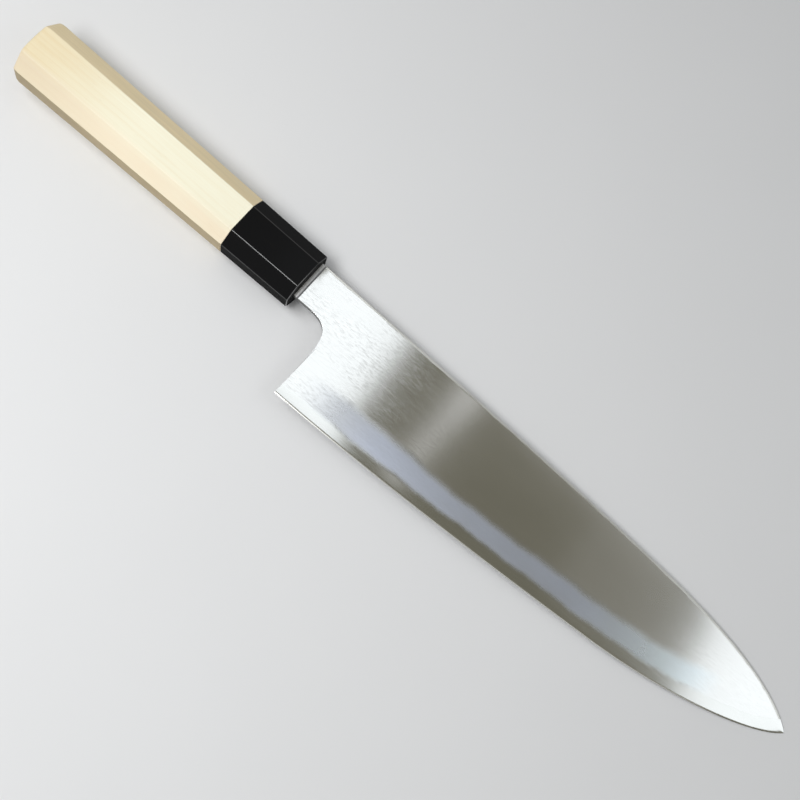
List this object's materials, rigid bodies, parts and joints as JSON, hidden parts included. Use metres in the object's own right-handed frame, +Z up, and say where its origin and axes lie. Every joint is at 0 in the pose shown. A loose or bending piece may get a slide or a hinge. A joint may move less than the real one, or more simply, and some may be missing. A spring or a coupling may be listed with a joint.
{
  "type": "gyuto kitchen knife",
  "caption": "Long Japanese chef's knife with a forge-laminated, convex-ground blade, a black horn ferrule and an octagonal pale wood handle, lying on its left side.",
  "frame": {"origin": "centre of the bounding box's base, on the surface that the knife lies on", "axes": "+X from the butt to the point, +Y from the edge to the spine, +Z up, out of the blade's right face. The knife lies on its left side and is tipped 2.07 degrees about Y, so that the ferrule's front edge and the far end of the blade both touch the surface"},
  "size_m": [0.3886, 0.0544, 0.0246],
  "materials": {
    "core_steel": "finely polished hard steel",
    "clad_steel": "satin, fine lengthwise polishing marks",
    "pale_wood": "bare, sanded smooth",
    "black_horn": "polished",
    "cement": "cast, matt"
  },
  "bodies": {
    "root": {"blade_core": "core_steel", "cladding_right": "clad_steel", "cladding_left": "clad_steel", "handle": "pale_wood", "ferrule": "black_horn", "tang_bedding": "cement"}
  },
  "joints": []
}
